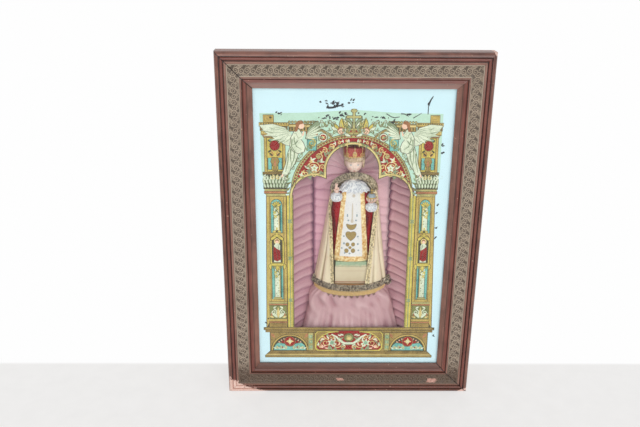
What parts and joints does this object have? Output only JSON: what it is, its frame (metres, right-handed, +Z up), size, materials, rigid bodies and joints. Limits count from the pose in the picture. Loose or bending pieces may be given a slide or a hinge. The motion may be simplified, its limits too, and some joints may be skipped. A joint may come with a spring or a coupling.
{
  "type": "devotional shadow box",
  "caption": "Glazed devotional box-frame: moulded frame, printed arch on the glass, and a pleated cloth niche with a crowned figure in a cape.",
  "frame": {"origin": "middle of the foot of the whole box", "axes": "+X to the right as seen from the front, +Y from the glass towards the back, +Z up"},
  "size_m": [0.432, 0.105, 0.61],
  "materials": {
    "frame_mahogany": "worn shellac over red-brown grain",
    "pressed_ornament": "tarnished bronze paint on pressed composition",
    "pine": "raw aged pine",
    "iron": "dull oxidised iron",
    "hanger_brass": "tarnished brass wire",
    "card": "grey-brown card",
    "pink_cloth": "faded dusty-pink cotton in pleats",
    "clear_glass": "clear window glass",
    "colour_print": "colour transfer print with dark flecks of lost ink",
    "pale_blue_board": "pale blue paper on card",
    "dark_braid": "tarnished metal-thread braid",
    "gold_fringe": "gold scalloped lace",
    "painted_stand": "cream paint on plaster",
    "painted_robe": "white, gold and dark red paint on plaster",
    "painted_flesh": "flesh paint on plaster",
    "painted_crown": "red and gold paint on plaster",
    "lace": "white paint on lace frills cast in plaster",
    "gilt": "dull gilding on plaster",
    "cream_cloth": "cream satin"
  },
  "bodies": {
    "case": {"frame_bottom_rail": "frame_mahogany", "frame_top_rail": "frame_mahogany", "frame_left_stile": "frame_mahogany", "frame_right_stile": "frame_mahogany", "ornament_strip_bottom": "pressed_ornament", "ornament_strip_top": "pressed_ornament", "ornament_strip_left": "pressed_ornament", "ornament_strip_right": "pressed_ornament", "corner_brads": "iron", "glass_pane": "clear_glass", "glass_print": "colour_print", "mask_board": "pale_blue_board", "glazing_stop_bottom": "pine", "glazing_stop_top": "pine", "glazing_stop_left": "pine", "glazing_stop_right": "pine", "box_bottom_board": "pine", "box_top_board": "pine", "box_left_board": "pine", "box_right_board": "pine", "box_nails": "iron", "back_plank_left": "pine", "back_plank_middle": "pine", "back_plank_right": "pine", "back_nails": "iron", "glue_blocks": "pine", "niche_left_panel": "card", "niche_right_panel": "card", "niche_back_panel": "card", "niche_batten_left": "pine", "niche_batten_right": "pine", "lining_left": "pink_cloth", "lining_right": "pink_cloth", "lining_back": "pink_cloth", "base_post": "pine", "base_shelf": "pine", "base_screws": "iron", "base_braid": "dark_braid", "base_fringe": "gold_fringe", "base_skirt": "pink_cloth", "figure_stand": "painted_stand", "figure_dowel": "pine", "figure_body": "painted_robe", "figure_neck_peg": "pine", "figure_head": "painted_flesh", "figure_crown": "painted_crown", "figure_collar": "lace", "figure_cuff_right": "lace", "figure_hand_right": "painted_flesh", "figure_cuff_left": "lace", "figure_hand_left": "painted_flesh", "figure_orb": "gilt", "figure_cape": "cream_cloth", "figure_cape_braid": "dark_braid", "hanger_eye_left": "hanger_brass", "hanger_eye_right": "hanger_brass"},
    "ring_left": {"hanger_ring_left": "hanger_brass"},
    "ring_right": {"hanger_ring_right": "hanger_brass"}
  },
  "joints": [
    {"name": "ring_left_swing", "type": "hinge", "parent": "case", "child": "ring_left", "pos_m": [-0.198, 0.0481, 0.4695], "axis": [1, 0, 0], "range_deg": [-8, 170]},
    {"name": "ring_right_swing", "type": "hinge", "parent": "case", "child": "ring_right", "pos_m": [0.198, 0.0481, 0.4695], "axis": [1, 0, 0], "range_deg": [-8, 170]}
  ]
}
